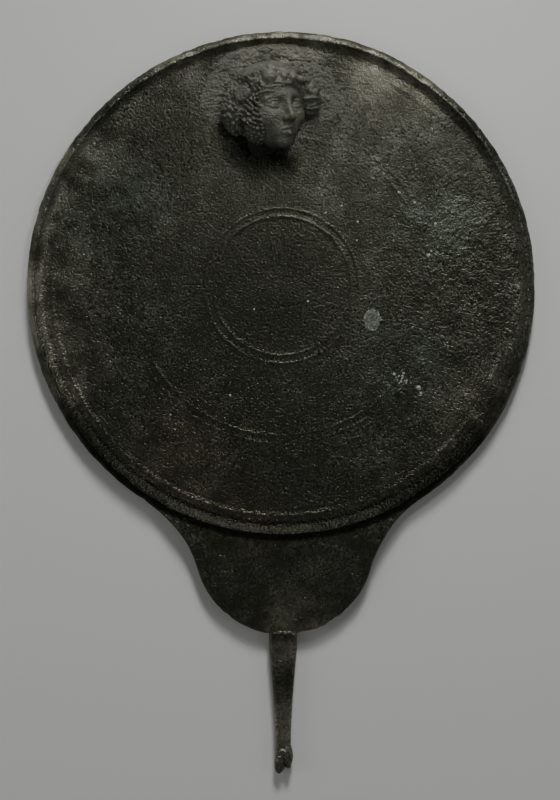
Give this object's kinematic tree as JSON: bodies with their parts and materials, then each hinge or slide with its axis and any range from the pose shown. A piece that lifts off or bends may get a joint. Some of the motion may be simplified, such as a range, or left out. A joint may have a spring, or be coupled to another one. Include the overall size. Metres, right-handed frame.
{
  "type": "tanged mirror",
  "caption": "Ancient cast bronze hand mirror lying face down: round disc with turned-up rim and fine raised rings, small wreathed head in high relief, broad tongue and tapering tang.",
  "frame": {"origin": "centre of the round disc, on the flat middle of its polished side, which rests on the table", "axes": "+Y from the disc's centre toward the relief head, with the tongue and tang toward -Y; +Z out of the decorated back; +X to the right when the head is upright"},
  "size_m": [0.165, 0.2405, 0.0181],
  "materials": {
    "dark_bronze": "matte",
    "head_bronze": "matte"
  },
  "bodies": {
    "root": {"mirror_disc": "dark_bronze", "head_applique": "head_bronze"}
  },
  "joints": []
}
